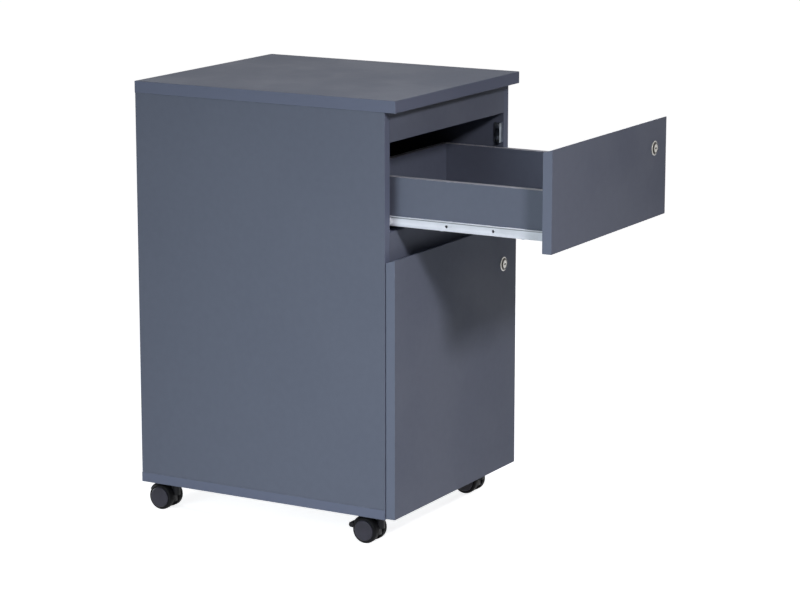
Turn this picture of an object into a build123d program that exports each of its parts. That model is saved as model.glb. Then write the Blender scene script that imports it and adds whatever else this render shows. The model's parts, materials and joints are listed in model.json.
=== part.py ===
"""Mobile drawer unit: a board pedestal on twin-wheel castors, a shallow drawer over a deep one.

Millimetres. +X is to the right as one faces the drawers, +Y runs to the back and +Z is up.
The origin is on the floor under the middle of the carcass.
The upper drawer stands drawn out by its full travel, the lower drawer is closed.
"""

import os
from math import cos, radians, sin, sqrt

from build123d import *

os.makedirs("parts", exist_ok=True)

# Carcass boards
body_width = 380.0
body_depth = 430.0
board = 15.0
top_thickness = 18.0
board_lip = 1.0
top_overhang = 18.0
top_finger_gap = 33.0
middle_finger_gap = 32.5
top_rail_lap = 12.0
divider_low_lap = 7.5
divider_high_lap = 5.0
back_panel_thickness = 3.0
back_panel_inset = 12.0
back_groove_depth = 6.0
arris = 0.8

# Drawer boxes and their fronts
front_thickness = 15.0
front_side_gap = 1.0
front_back_gap = 1.0
front_grip_drop = 5.0
upper_front_height = 147.0
lower_front_rise = 1.5
lower_front_height = 386.0
box_side_thickness = 12.0
drawer_rear_room = 66.0
upper_box_lift = 14.0
upper_box_drop = 63.0
lower_box_rise = 31.0
lower_box_drop = 106.5
drawer_bottom_thickness = 3.0
drawer_bottom_rise = 10.0
drawer_groove_depth = 5.0

# Roller runners
runner_space = 12.5
runner_sheet = 1.2
runner_leg_height = 13.4
runner_flange_width = 2.2
runner_captive_length = 100.0
runner_flange_cutback = 26.0
runner_hole_radius = 2.2
runner_hole_rise = 5.5
runner_hole_start = 90.0
runner_hole_pitch = 75.0
runner_hole_count = 2
runner_pilot_depth = 8.0
channel_setback = 2.0
channel_tip_gap = 1.8
channel_flange_setback = 40.0
drawer_roller_radius = 10.0
drawer_roller_rise = 4.25
drawer_roller_inset = 12.0
cabinet_roller_radius = 6.0
cabinet_roller_inset = 5.0
roller_track_gap = 0.25
roller_side_gap = 0.7
roller_web_gap = 2.2
stud_radius = 2.45
stud_head_radius = 3.8
stud_head_thickness = 1.0
stud_shoulder_radius = 3.5

# Screws, dowels and cam fittings
screw_radius = 1.7
screw_length = 10.0
screw_head_radius = 3.2
screw_head_thickness = 1.4
runner_screw_end = 45.0
runner_screw_count = 3
drawer_screw_inset = 5.0
dowel_radius = 4.0
dowel_length = 30.0
dowel_face_depth = 10.0
dowel_edge_inset = 30.0
box_dowel_radius = 3.0
box_dowel_length = 24.0
box_dowel_face_depth = 8.0
box_dowel_low_rise = 22.0
box_dowel_top_inset = 14.0
rail_fitting_offset = 11.0
cam_bolt_radius = 3.0
cam_bolt_thread_radius = 2.5
cam_bolt_thread_length = 10.0
cam_bolt_past_centre = 2.0
cam_disc_radius = 7.5
cam_disc_thickness = 12.0
cam_backset = 24.0
cam_edge_inset = 90.0
cam_slot_width = 2.0
cam_slot_depth = 2.5
fitting_clearance = 0.1

# Cam locks and their strikes
lock_side_inset = 42.0
upper_lock_drop = 42.5
lower_lock_drop = 62.0
lock_barrel_radius = 9.0
lock_collar_lap = 2.0
lock_face_inset = 2.0
lock_collar_base = 1.0
lock_collar_height = 3.0
lock_plug_radius = 6.0
lock_plug_recess = 0.3
lock_rear_length = 5.0
lock_nut_thickness = 4.0
lock_nut_wall = 2.0
lock_nut_sides = 6
lock_cam_gap = 0.5
lock_cam_thickness = 2.0
lock_cam_reach = 24.0
lock_cam_width = 10.0
lock_cam_hub_radius = 8.0
lock_boss_width = 6.0
lock_rivet_radius = 4.5
lock_rivet_thickness = 1.5
key_slot_length = 5.0
key_slot_width = 2.0
key_slot_depth = 9.0
key_hole_radius = 1.7
strike_sheet = 1.5
strike_width = 10.0
strike_leg = 14.0
strike_height = 30.0
strike_setback = 2.0
strike_screw_pitch = 18.0
strike_corner_radius = 2.0

# Castors
castor_side_inset = 35.0
castor_front_inset = 28.0
castor_back_inset = 38.0
castor_trail = 18.0
castor_plate_size = 38.0
castor_plate_thickness = 2.0
castor_plate_corner = 4.0
castor_screw_inset = 5.0
kingpin_radius = 3.5
kingpin_length = 15.0
housing_flange_radius = 13.0
housing_flange_thickness = 3.5
housing_flange_gap = 0.5
housing_barrel_length = 22.0
housing_web_width = 9.0
housing_axle_boss_radius = 8.0
hood_gap = 0.8
hood_thickness = 1.6
hood_half_width = 13.5
hood_low_angle = 26.0
hood_high_angle = 110.0
wheel_radius = 20.0
wheel_width = 13.0
wheel_top_gap = 1.0
wheel_arm_gap = 0.6
wheel_barrel_gap = 0.4
wheel_shoulder_radius = 3.5
wheel_disc_radius = 15.5
wheel_disc_height = 2.0
wheel_disc_round = 1.6
wheel_end_wall = 2.0
axle_radius = 3.0
axle_end_gap = 0.5
brake_arm_thickness = 1.6
brake_arm_gap = 0.3
brake_arm_width = 6.0
brake_eye_radius = 5.5
brake_pad_half_width = 14.0
brake_pad_inner_gap = 1.2
brake_pad_depth = 7.5
brake_tip_radius = 3.5
brake_pad_low_angle = 2.0
brake_pad_high_angle = 20.0
running_clearance = 0.05
overrun = 1.0

# Levels and faces that several pieces share
half_width = body_width / 2
half_depth = body_depth / 2
side_inner = half_width - board
board_half_width = half_width + board_lip
castor_stack = castor_plate_thickness + housing_flange_gap + housing_flange_thickness
castor_height = 2 * wheel_radius + wheel_top_gap + castor_stack
bottom_low = castor_height
bottom_high = bottom_low + board
lower_front_top = lower_front_rise + lower_front_height
upper_front_rise = lower_front_top + middle_finger_gap
upper_front_top = upper_front_rise + upper_front_height
top_low = bottom_low + upper_front_top + top_finger_gap
top_high = top_low + top_thickness
carcass_front = -half_depth
rail_back = carcass_front + board
rail_middle = carcass_front + board / 2
top_rail_z = (bottom_low + upper_front_top - top_rail_lap, top_low)
divider_low = bottom_low + lower_front_top - divider_low_lap
divider_z = (divider_low, bottom_low + upper_front_rise + divider_high_lap)
upper_box_rise = upper_front_rise + upper_box_lift
upper_box_height = upper_front_height - upper_box_lift - upper_box_drop
lower_box_height = lower_front_top - lower_box_rise - lower_box_drop
box_half_width = side_inner - runner_space
box_inner = box_half_width - box_side_thickness
front_half_width = half_width - front_side_gap
front_inner_closed = carcass_front - front_back_gap
back_panel_front = half_depth - back_panel_inset - back_panel_thickness
box_depth = back_panel_front - drawer_rear_room - front_inner_closed
channel_length = box_depth
drawer_travel = box_depth - runner_captive_length
channel_front = carcass_front + channel_setback
leg_outer = box_half_width + runner_sheet
channel_web = side_inner - runner_sheet
runner_room = channel_web - leg_outer
channel_flange_width = runner_room - channel_tip_gap
roller_width = runner_room - roller_side_gap - roller_web_gap
track_low = drawer_roller_rise - drawer_roller_radius - roller_track_gap
flange_rise = runner_leg_height - runner_sheet
runner_screw_pitch = (box_depth - 2 * runner_screw_end) / (runner_screw_count - 1)
runner_screw_steps = [runner_screw_end + i * runner_screw_pitch for i in range(runner_screw_count)]
lock_collar_radius = lock_barrel_radius + lock_collar_lap
lock_face_radius = lock_barrel_radius - lock_face_inset
brake_arm_offset = housing_web_width / 2 + brake_arm_gap
wheel_inner_offset = brake_arm_offset + brake_arm_thickness + wheel_arm_gap
housing_barrel_radius = wheel_inner_offset - wheel_barrel_gap
castor_screw_pitch = castor_plate_size - 2 * castor_screw_inset
castor_x = half_width - castor_side_inset
castor_ys = {"front": carcass_front + castor_front_inset, "rear": half_depth - castor_back_inset}
axle_z = wheel_radius
SIDES = {"left": -1, "right": 1}


class Drawer:
    """The places of one drawer: its box, its front and its lock, at the pose it is drawn in."""

    def __init__(self, name, box_rise, box_height, front_rise, front_height, lock_drop, drawn):
        self.name = name
        self.box_low = bottom_low + box_rise
        self.box_high = self.box_low + box_height
        self.front_low = bottom_low + front_rise
        self.front_high = self.front_low + front_height
        self.lock_z = self.front_high - lock_drop
        self.lock_x = front_half_width - lock_side_inset
        self.inner = front_inner_closed - drawn
        self.outer = self.inner - front_thickness
        self.rear = self.inner + box_depth
        self.bottom_low = self.box_low + drawer_bottom_rise
        self.bottom_high = self.bottom_low + drawer_bottom_thickness
        self.flange_high = self.box_low + runner_leg_height
        self.flange_low = self.box_low + flange_rise
        self.drawer_roller_z = self.box_low + drawer_roller_rise
        self.drawer_roller_y = self.rear - drawer_roller_inset
        self.channel_low = self.box_low + track_low
        self.channel_high = self.drawer_roller_z + drawer_roller_radius + roller_track_gap
        self.cabinet_roller_z = self.flange_low - roller_track_gap - cabinet_roller_radius
        self.cabinet_roller_y = channel_front + cabinet_roller_inset


upper = Drawer(
    name="upper",
    box_rise=upper_box_rise,
    box_height=upper_box_height,
    front_rise=upper_front_rise,
    front_height=upper_front_height,
    lock_drop=upper_lock_drop,
    drawn=drawer_travel,
)
lower = Drawer(
    name="lower",
    box_rise=lower_box_rise,
    box_height=lower_box_height,
    front_rise=lower_front_rise,
    front_height=lower_front_height,
    lock_drop=lower_lock_drop,
    drawn=0,
)
DRAWERS = (upper, lower)


# Shared shapes


def slab(x, y, z, mode=Mode.ADD):
    """Put a box between two bounds on each axis into the part being built."""
    with Locations(((x[0] + x[1]) / 2, (y[0] + y[1]) / 2, (z[0] + z[1]) / 2)):
        Box(abs(x[1] - x[0]), abs(y[1] - y[0]), abs(z[1] - z[0]), mode=mode)


def soft_board(x, y, z, run):
    """Put a board into the part being built, with the arrises that run along an axis softened."""
    slab(x, y, z)
    fillet(edges().filter_by(run), radius=arris)


def bar(start, direction, radius, length, mode=Mode.ADD):
    """Put a round bar that starts at a point and runs along a direction into the part being built."""
    with Locations(Plane(origin=start, z_dir=direction)):
        Cylinder(radius, length, align=(Align.CENTER, Align.CENTER, Align.MIN), mode=mode)


def along(point, direction, distance):
    """Return the point at a distance from another along a direction."""
    return tuple(p + d * distance for p, d in zip(point, direction))


def back(direction):
    """Return the opposite direction."""
    return tuple(-d for d in direction)


def finish(piece, name):
    """Label a finished piece and write it out."""
    piece.part.label = name
    export_step(piece.part, f"parts/{name}.step")


def screw(point, direction):
    """Put a pan-head screw whose head seats at a point into the part being built."""
    bar(point, direction, screw_radius, screw_length)
    bar(point, back(direction), screw_head_radius, screw_head_thickness)


def screw_bore(point, direction):
    """Cut the hole for a screw that seats at a point."""
    start = along(point, direction, -overrun)
    bar(start, direction, screw_radius + fitting_clearance, screw_length + 2 * overrun, Mode.SUBTRACT)


def spare_bore(point, direction):
    """Cut a spare screw hole that starts on a runner's leg and ends in the drawer side behind it."""
    start = along(point, direction, -overrun)
    bar(start, direction, runner_hole_radius, overrun + runner_sheet + runner_pilot_depth, Mode.SUBTRACT)


def dowel_bore(point, direction, radius, face_depth, length):
    """Cut the hole for a dowel that crosses a joint at a point."""
    start = along(point, direction, -face_depth - overrun)
    bar(start, direction, radius + fitting_clearance, length + 2 * overrun, Mode.SUBTRACT)


# Where the hidden fittings of the carcass sit: a point on the joint and the way into the side or rail

side_middle = half_width - board / 2
dowel_ys = (carcass_front + dowel_edge_inset, half_depth - dowel_edge_inset)
cam_ys = (carcass_front + cam_edge_inset, half_depth - cam_edge_inset)
board_joints = ((bottom_high, (0, 0, 1)), (top_low, (0, 0, -1)))
rail_middles = (sum(top_rail_z) / 2, sum(divider_z) / 2)

edge_dowels = [
    ((s * side_middle, y, z), d)
    for s in SIDES.values()
    for y in dowel_ys
    for z, d in board_joints
]
rail_dowels = [
    ((s * side_inner, rail_middle, z + rail_fitting_offset), (-s, 0, 0))
    for s in SIDES.values()
    for z in rail_middles
]
edge_bolts = [
    ((s * side_middle, y, z), d)
    for s in SIDES.values()
    for y in cam_ys
    for z, d in board_joints
]
rail_bolts = [
    ((s * side_inner, rail_middle, z - rail_fitting_offset), (-s, 0, 0))
    for s in SIDES.values()
    for z in rail_middles
]
edge_cams = [
    ((s * side_inner, p[1], p[2] + d[2] * cam_backset), (s, 0, 0), d)
    for s in SIDES.values()
    for p, d in edge_bolts
    if p[0] * s > 0
]
rail_cams = [((p[0] + d[0] * cam_backset, rail_back, p[2]), (0, -1, 0), d) for p, d in rail_bolts]


def cut_carcass_joinery():
    """Cut every dowel, bolt and cam hole of the carcass that meets the board being built."""
    for point, direction in edge_dowels + rail_dowels:
        dowel_bore(point, direction, dowel_radius, dowel_face_depth, dowel_length)
    for point, direction in edge_bolts + rail_bolts:
        bar(point, direction, cam_bolt_radius + fitting_clearance, cam_backset, Mode.SUBTRACT)
        depth = cam_bolt_thread_length + overrun
        bar(point, back(direction), cam_bolt_thread_radius + fitting_clearance, depth, Mode.SUBTRACT)
    for point, direction, _ in edge_cams + rail_cams:
        depth = cam_disc_thickness + fitting_clearance
        bar(point, direction, cam_disc_radius + fitting_clearance, depth, Mode.SUBTRACT)


# Where the screws that go into the carcass sit: the seat of the head and the way in

runner_screws = [
    ((s * channel_web, channel_front + step, d.drawer_roller_z), (s, 0, 0))
    for d in DRAWERS
    for s in SIDES.values()
    for step in runner_screw_steps
]
strike_front = carcass_front + strike_setback
strike_leg_middle = strike_front + strike_sheet + (strike_leg - strike_sheet) / 2
strike_screws = [
    ((side_inner - strike_sheet, strike_leg_middle, d.lock_z + i * strike_screw_pitch / 2), (1, 0, 0))
    for d in DRAWERS
    for i in (-1, 1)
]
plate_low = castor_height - castor_plate_thickness
castor_screws = [
    ((s * castor_x + i * castor_screw_pitch / 2, y + j * castor_screw_pitch / 2, plate_low), (0, 0, 1))
    for s in SIDES.values()
    for y in castor_ys.values()
    for i in (-1, 1)
    for j in (-1, 1)
]


# Carcass boards

back_panel_y = (back_panel_front, back_panel_front + back_panel_thickness)
back_panel_x = (-side_inner - back_groove_depth, side_inner + back_groove_depth)
back_panel_z = (bottom_high - back_groove_depth, top_low + back_groove_depth)

with BuildPart() as top_board:
    top_y = (carcass_front - top_overhang, half_depth)
    slab((-board_half_width, board_half_width), top_y, (top_low, top_high))
    fillet(edges(), radius=arris)
    slab(back_panel_x, back_panel_y, back_panel_z, Mode.SUBTRACT)
    cut_carcass_joinery()
finish(top_board, "top_board")

with BuildPart() as bottom_board:
    slab((-board_half_width, board_half_width), (carcass_front, half_depth), (bottom_low, bottom_high))
    fillet(edges(), radius=arris)
    slab(back_panel_x, back_panel_y, back_panel_z, Mode.SUBTRACT)
    cut_carcass_joinery()
    for seat, way in castor_screws:
        screw_bore(seat, way)
finish(bottom_board, "bottom_board")

for side_name, s in SIDES.items():
    with BuildPart() as side_panel:
        side_x = (s * side_inner, s * half_width)
        soft_board(side_x, (carcass_front, half_depth), (bottom_high, top_low), Axis.Z)
        slab(back_panel_x, back_panel_y, back_panel_z, Mode.SUBTRACT)
        cut_carcass_joinery()
        for seat, way in runner_screws + strike_screws:
            if seat[0] * s > 0:
                screw_bore(seat, way)
    finish(side_panel, f"side_panel_{side_name}")

for rail_name, rail_z in (("top_rail", top_rail_z), ("divider_rail", divider_z)):
    with BuildPart() as rail:
        soft_board((-side_inner, side_inner), (carcass_front, rail_back), rail_z, Axis.X)
        cut_carcass_joinery()
    finish(rail, rail_name)

with BuildPart() as back_panel:
    slab(back_panel_x, back_panel_y, back_panel_z)
finish(back_panel, "back_panel")


# Hidden joinery of the carcass

with BuildPart() as carcass_dowels:
    for point, way in edge_dowels + rail_dowels:
        bar(along(point, way, -dowel_face_depth), way, dowel_radius, dowel_length)
    chamfer(edges().filter_by(GeomType.CIRCLE), length=arris)
finish(carcass_dowels, "carcass_dowels")

with BuildPart() as carcass_cam_bolts:
    for point, way in edge_bolts + rail_bolts:
        bar(point, way, cam_bolt_radius, cam_backset + cam_bolt_past_centre)
        bar(point, back(way), cam_bolt_thread_radius, cam_bolt_thread_length)
finish(carcass_cam_bolts, "carcass_cam_bolts")

with BuildPart() as carcass_cam_discs:
    for point, way, bolt_way in edge_cams + rail_cams:
        bar(point, way, cam_disc_radius, cam_disc_thickness)
    for point, way, bolt_way in edge_cams + rail_cams:
        # The bolt's seat, from the rim to past the middle of the disc
        bolt_start = along(along(point, way, board / 2), bolt_way, -cam_disc_radius - overrun)
        seat_length = cam_disc_radius + overrun + cam_bolt_past_centre + overrun
        bar(bolt_start, bolt_way, cam_bolt_radius + fitting_clearance, seat_length, Mode.SUBTRACT)
        # The driver slot on the face
        with BuildSketch(Plane(origin=point, x_dir=bolt_way, z_dir=way)):
            Rectangle(cam_disc_radius, cam_slot_width)
        extrude(amount=cam_slot_depth, mode=Mode.SUBTRACT)
finish(carcass_cam_discs, "carcass_cam_discs")

with BuildPart() as panel_screws:
    for seat, way in runner_screws + strike_screws + castor_screws:
        screw(seat, way)
finish(panel_screws, "panel_screws")


# Roller runners

with BuildPart() as cabinet_runners:
    for d in DRAWERS:
        channel_y = (channel_front, channel_front + channel_length)
        flange_y = (channel_front + channel_flange_setback, channel_front + channel_length)
        for s in SIDES.values():
            low = d.channel_low - runner_sheet
            high = d.channel_high + runner_sheet
            slab((s * channel_web, s * side_inner), channel_y, (low, high))
            tip = channel_web - channel_flange_width
            slab((s * tip, s * channel_web), flange_y, (low, d.channel_low))
            slab((s * tip, s * channel_web), flange_y, (d.channel_high, high))
            # The riveted stud that carries the front roller
            roller_face = leg_outer + roller_side_gap + roller_width
            hub = (s * channel_web, d.cabinet_roller_y, d.cabinet_roller_z)
            bar(hub, (-s, 0, 0), stud_shoulder_radius, channel_web - roller_face - running_clearance)
            stud_end = leg_outer + roller_side_gap + running_clearance
            bar(hub, (-s, 0, 0), stud_radius, channel_web - stud_end)
            head = (s * stud_end, d.cabinet_roller_y, d.cabinet_roller_z)
            bar(head, (s, 0, 0), stud_head_radius, stud_head_thickness)
    for seat, way in runner_screws:
        screw_bore(seat, way)
finish(cabinet_runners, "cabinet_runners")


def roller(inner_x, width, radius, s, y, z, head_inside):
    """Put one runner roller, bored for its stud and recessed for the stud's head, into the part."""
    start = (s * inner_x, y, z)
    bar(start, (s, 0, 0), radius, width)
    bar(start, (s, 0, 0), stud_radius + running_clearance, width, Mode.SUBTRACT)
    recess = stud_head_thickness + 2 * running_clearance
    recess_x = inner_x if head_inside else inner_x + width - recess
    bar((s * recess_x, y, z), (s, 0, 0), stud_head_radius + running_clearance, recess, Mode.SUBTRACT)


for d in DRAWERS:
    with BuildPart() as drawer_runners:
        foot_low = d.box_low - runner_sheet
        flange_tip = leg_outer + runner_flange_width
        flange_rear = d.rear - runner_flange_cutback
        for s in SIDES.values():
            slab((s * box_half_width, s * leg_outer), (d.inner, d.rear), (foot_low, d.flange_high))
            slab((s * box_inner, s * box_half_width), (d.inner, d.rear), (foot_low, d.box_low))
            slab((s * leg_outer, s * flange_tip), (d.inner, flange_rear), (d.flange_low, d.flange_high))
            # The riveted stud that carries the rear roller
            hub = (s * leg_outer, d.drawer_roller_y, d.drawer_roller_z)
            bar(hub, (s, 0, 0), stud_shoulder_radius, roller_side_gap - running_clearance)
            stud_length = roller_side_gap + roller_width - running_clearance
            bar(hub, (s, 0, 0), stud_radius, stud_length)
            bar(along(hub, (s, 0, 0), stud_length), (-s, 0, 0), stud_head_radius, stud_head_thickness)
        hole_z = d.box_low + runner_hole_rise
        d.spare_holes = [
            ((s * leg_outer, d.inner + runner_hole_start + i * runner_hole_pitch, hole_z), (-s, 0, 0))
            for s in SIDES.values()
            for i in range(runner_hole_count)
        ]
        for point, way in d.spare_holes:
            spare_bore(point, way)
        screw_x = box_half_width - drawer_screw_inset
        d.screws = [
            ((s * screw_x, d.inner + step, foot_low), (0, 0, 1))
            for s in SIDES.values()
            for step in runner_screw_steps
        ]
        for seat, way in d.screws:
            screw_bore(seat, way)
    finish(drawer_runners, f"{d.name}_drawer_runners")

    with BuildPart() as drawer_screws:
        for seat, way in d.screws:
            screw(seat, way)
    finish(drawer_screws, f"{d.name}_drawer_screws")

    with BuildPart() as drawer_rollers:
        for s in SIDES.values():
            roller(leg_outer + roller_side_gap, roller_width, drawer_roller_radius, s,
                   d.drawer_roller_y, d.drawer_roller_z, head_inside=False)
    finish(drawer_rollers, f"{d.name}_drawer_rollers")

    with BuildPart() as cabinet_rollers:
        for s in SIDES.values():
            roller(leg_outer + roller_side_gap, roller_width, cabinet_roller_radius, s,
                   d.cabinet_roller_y, d.cabinet_roller_z, head_inside=True)
    finish(cabinet_rollers, f"{d.name}_cabinet_rollers")


# Drawer boxes

for d in DRAWERS:
    back_inner = d.rear - box_side_thickness
    bottom_x = (-box_inner - drawer_groove_depth, box_inner + drawer_groove_depth)
    bottom_y = (d.inner - drawer_groove_depth, back_inner + drawer_groove_depth)
    bottom_z = (d.bottom_low, d.bottom_high)
    dowel_zs = (d.box_low + box_dowel_low_rise, d.box_high - box_dowel_top_inset)
    side_mid = box_inner + box_side_thickness / 2
    back_mid = d.rear - box_side_thickness / 2
    front_dowels = [((s * side_mid, d.inner, z), (0, 1, 0)) for s in SIDES.values() for z in dowel_zs]
    back_dowels = [((s * box_inner, back_mid, z), (-s, 0, 0)) for s in SIDES.values() for z in dowel_zs]

    with BuildPart() as drawer_front:
        slab((-front_half_width, front_half_width), (d.outer, d.inner), (d.front_low, d.front_high))
        # The top edge falls away to the back, so that fingers hook over it
        grip_start = (-front_half_width, d.outer, d.front_high)
        with BuildSketch(Plane(origin=grip_start, x_dir=(0, 1, 0), z_dir=(1, 0, 0))):
            with BuildLine():
                Polyline((0, 0), (front_thickness, 0), (front_thickness, -front_grip_drop), close=True)
            make_face()
        extrude(amount=2 * front_half_width, mode=Mode.SUBTRACT)
        fillet(edges(), radius=arris)
        slab(bottom_x, bottom_y, bottom_z, Mode.SUBTRACT)
        barrel_start = (d.lock_x, d.outer - overrun, d.lock_z)
        barrel_bore = lock_barrel_radius + running_clearance
        bar(barrel_start, (0, 1, 0), barrel_bore, front_thickness + 2 * overrun, Mode.SUBTRACT)
        for point, way in front_dowels:
            dowel_bore(point, way, box_dowel_radius, box_dowel_face_depth, box_dowel_length)
    finish(drawer_front, f"{d.name}_drawer_front")

    for side_name, s in SIDES.items():
        with BuildPart() as drawer_side:
            side_x = (s * box_inner, s * box_half_width)
            soft_board(side_x, (d.inner, d.rear), (d.box_low, d.box_high), Axis.Y)
            slab(bottom_x, bottom_y, bottom_z, Mode.SUBTRACT)
            for point, way in front_dowels + back_dowels:
                dowel_bore(point, way, box_dowel_radius, box_dowel_face_depth, box_dowel_length)
            for seat, way in d.screws:
                screw_bore(seat, way)
            for point, way in d.spare_holes:
                spare_bore(point, way)
        finish(drawer_side, f"{d.name}_drawer_side_{side_name}")

    with BuildPart() as drawer_back:
        soft_board((-box_inner, box_inner), (back_inner, d.rear), (d.box_low, d.box_high), Axis.X)
        slab(bottom_x, bottom_y, bottom_z, Mode.SUBTRACT)
        for point, way in back_dowels:
            dowel_bore(point, way, box_dowel_radius, box_dowel_face_depth, box_dowel_length)
    finish(drawer_back, f"{d.name}_drawer_back")

    with BuildPart() as drawer_bottom:
        slab(bottom_x, bottom_y, bottom_z)
    finish(drawer_bottom, f"{d.name}_drawer_bottom")

    with BuildPart() as drawer_dowels:
        for point, way in front_dowels + back_dowels:
            bar(along(point, way, -box_dowel_face_depth), way, box_dowel_radius, box_dowel_length)
        chamfer(edges().filter_by(GeomType.CIRCLE), length=arris)
    finish(drawer_dowels, f"{d.name}_drawer_dowels")


# Cam locks: the barrel with its collar, the nut, the plug and the cam that swings behind the strike

for d in DRAWERS:
    axis_point = (d.lock_x, d.outer, d.lock_z)
    # A lock is drawn in a plane whose x is the radius and whose y runs along the lock, out of the front
    lock_section = Plane(origin=axis_point, x_dir=(1, 0, 0), z_dir=(0, 0, 1))
    lock_axis = Axis(axis_point, (0, 1, 0))
    rear = front_thickness + lock_rear_length

    with BuildPart() as lock_body:
        with BuildSketch(lock_section):
            with BuildLine():
                Polyline(
                    (lock_plug_radius + running_clearance, rear),
                    (lock_barrel_radius, rear),
                    (lock_barrel_radius, 0),
                    (lock_collar_radius, 0),
                    (lock_collar_radius, -lock_collar_base),
                    (lock_face_radius, -lock_collar_height),
                    (lock_plug_radius + running_clearance, -lock_collar_height),
                    close=True,
                )
            make_face()
        revolve(axis=lock_axis)
        front_edges = edges().filter_by(GeomType.CIRCLE).group_by(Axis.Y)[0]
        fillet(front_edges.sort_by(SortBy.RADIUS)[-1], radius=arris)
    finish(lock_body, f"{d.name}_lock_body")

    with BuildPart() as lock_nut:
        nut_plane = Plane(origin=(d.lock_x, d.inner, d.lock_z), z_dir=(0, 1, 0))
        with BuildSketch(nut_plane):
            RegularPolygon(lock_barrel_radius + lock_nut_wall, lock_nut_sides, major_radius=False)
            Circle(lock_barrel_radius + running_clearance, mode=Mode.SUBTRACT)
        extrude(amount=lock_nut_thickness)
    finish(lock_nut, f"{d.name}_lock_nut")

    cam_face = d.inner + lock_rear_length + lock_cam_gap
    with BuildPart() as lock_plug:
        face = (d.lock_x, d.outer - lock_collar_height + lock_plug_recess, d.lock_z)
        bar(face, (0, 1, 0), lock_plug_radius, cam_face - face[1])
        boss_plane = Plane(origin=(d.lock_x, cam_face, d.lock_z), z_dir=(0, 1, 0))
        with BuildSketch(boss_plane):
            Rectangle(lock_boss_width, lock_boss_width)
        extrude(amount=lock_cam_thickness)
        rivet = (d.lock_x, cam_face + lock_cam_thickness, d.lock_z)
        bar(rivet, (0, 1, 0), lock_rivet_radius, lock_rivet_thickness)
        with BuildSketch(Plane(origin=face, z_dir=(0, 1, 0))):
            Rectangle(key_slot_width, key_slot_length)
            Circle(key_hole_radius)
        extrude(amount=key_slot_depth, mode=Mode.SUBTRACT)
    finish(lock_plug, f"{d.name}_lock_plug")

    with BuildPart() as lock_cam:
        # The unlocked cam points straight up
        cam_plane = Plane(origin=(d.lock_x, cam_face, d.lock_z), x_dir=(0, 0, 1), z_dir=(0, 1, 0))
        with BuildSketch(cam_plane):
            Circle(lock_cam_hub_radius)
            arm = lock_cam_reach - lock_cam_width / 2
            with Locations((arm / 2, 0)):
                Rectangle(arm, lock_cam_width)
            with Locations((arm, 0)):
                Circle(lock_cam_width / 2)
            Rectangle(lock_boss_width, lock_boss_width, mode=Mode.SUBTRACT)
        extrude(amount=lock_cam_thickness)
    finish(lock_cam, f"{d.name}_lock_cam")

with BuildPart() as strike_brackets:
    for d in DRAWERS:
        z = (d.lock_z - strike_height / 2, d.lock_z + strike_height / 2)
        slab((side_inner - strike_width, side_inner), (strike_front, strike_front + strike_sheet), z)
        leg_y = (strike_front + strike_sheet, strike_front + strike_leg)
        slab((side_inner - strike_sheet, side_inner), leg_y, z)
    leg_corners = edges().filter_by(Axis.X).group_by(Axis.Y)[-1]
    fillet(leg_corners, radius=strike_corner_radius)
    for seat, way in strike_screws:
        screw_bore(seat, way)
finish(strike_brackets, "strike_brackets")


# Castors

with BuildPart() as castor_plates:
    for s in SIDES.values():
        for y in castor_ys.values():
            with BuildSketch(Plane.XY.offset(plate_low)):
                with Locations((s * castor_x, y)):
                    RectangleRounded(castor_plate_size, castor_plate_size, castor_plate_corner)
            extrude(amount=castor_plate_thickness)
            bar((s * castor_x, y, plate_low), (0, 0, -1), kingpin_radius, kingpin_length)
    for seat, way in castor_screws:
        screw_bore(seat, way)
finish(castor_plates, "castor_plates")

flange_high = plate_low - housing_flange_gap
flange_low = flange_high - housing_flange_thickness
pad_inner_radius = wheel_radius + brake_pad_inner_gap
pad_outer_radius = pad_inner_radius + brake_pad_depth
brake_arm_length = pad_inner_radius + brake_pad_depth / 2
hood_inner_radius = wheel_radius + hood_gap
hood_outer_radius = hood_inner_radius + hood_thickness
hood_middle_angle = (hood_low_angle + hood_high_angle) / 2
hood_angles = [radians(a) for a in (hood_low_angle, hood_middle_angle, hood_high_angle)]
hood_inner_points = [(hood_inner_radius * cos(a), hood_inner_radius * sin(a)) for a in hood_angles]
hood_outer_points = [(hood_outer_radius * cos(a), hood_outer_radius * sin(a)) for a in hood_angles]

# A wheel's section: distances from the axle and along it
wheel_outer = wheel_inner_offset + wheel_width
wheel_bore = axle_radius + running_clearance
wheel_bore_end = wheel_outer - wheel_end_wall
axle_half_length = wheel_bore_end - axle_end_gap
wheel_rim_face = wheel_outer - wheel_disc_height
wheel_shoulder_start = wheel_rim_face - wheel_shoulder_radius
wheel_face_radius = wheel_radius - wheel_shoulder_radius
disc_round_start = wheel_outer - wheel_disc_round
disc_face_radius = wheel_disc_radius - wheel_disc_round
arc_middle_share = sqrt(0.5)
wheel_arc_radius = wheel_face_radius + wheel_shoulder_radius * arc_middle_share
wheel_arc_offset = wheel_shoulder_start + wheel_shoulder_radius * arc_middle_share
disc_arc_radius = disc_face_radius + wheel_disc_round * arc_middle_share
disc_arc_offset = disc_round_start + wheel_disc_round * arc_middle_share


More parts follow.
